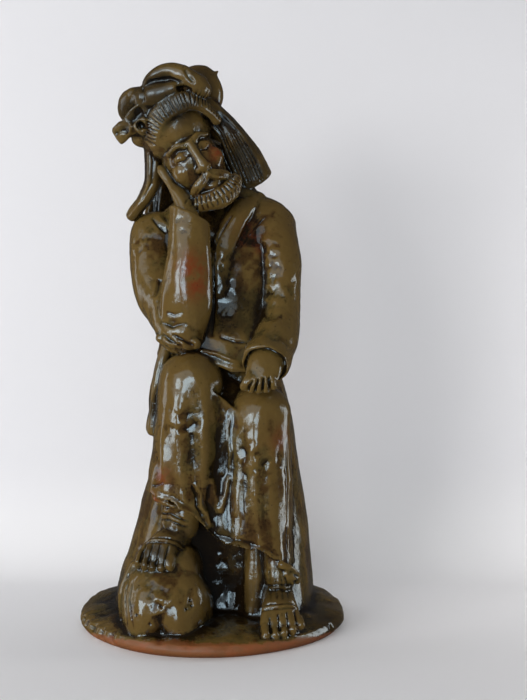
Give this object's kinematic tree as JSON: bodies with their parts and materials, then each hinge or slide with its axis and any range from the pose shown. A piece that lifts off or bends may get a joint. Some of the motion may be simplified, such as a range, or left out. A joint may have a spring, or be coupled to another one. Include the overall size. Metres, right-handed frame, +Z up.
{
  "type": "seated clay figurine",
  "caption": "Glazed clay figurine of a seated, robed man resting his cheek on one hand, on a round base.",
  "frame": {"origin": "on the underside, at the middle of the round base", "axes": "+Z up; the figure looks along -Y, so its right hand is on the -X side"},
  "size_m": [0.13, 0.13, 0.2708],
  "materials": {
    "glazed_clay": "glossy olive brown lead glaze over orange fired clay, mottled, dark in the hollows, bare clay at the rim"
  },
  "bodies": {
    "root": {"glazed_figurine": "glazed_clay"}
  },
  "joints": []
}
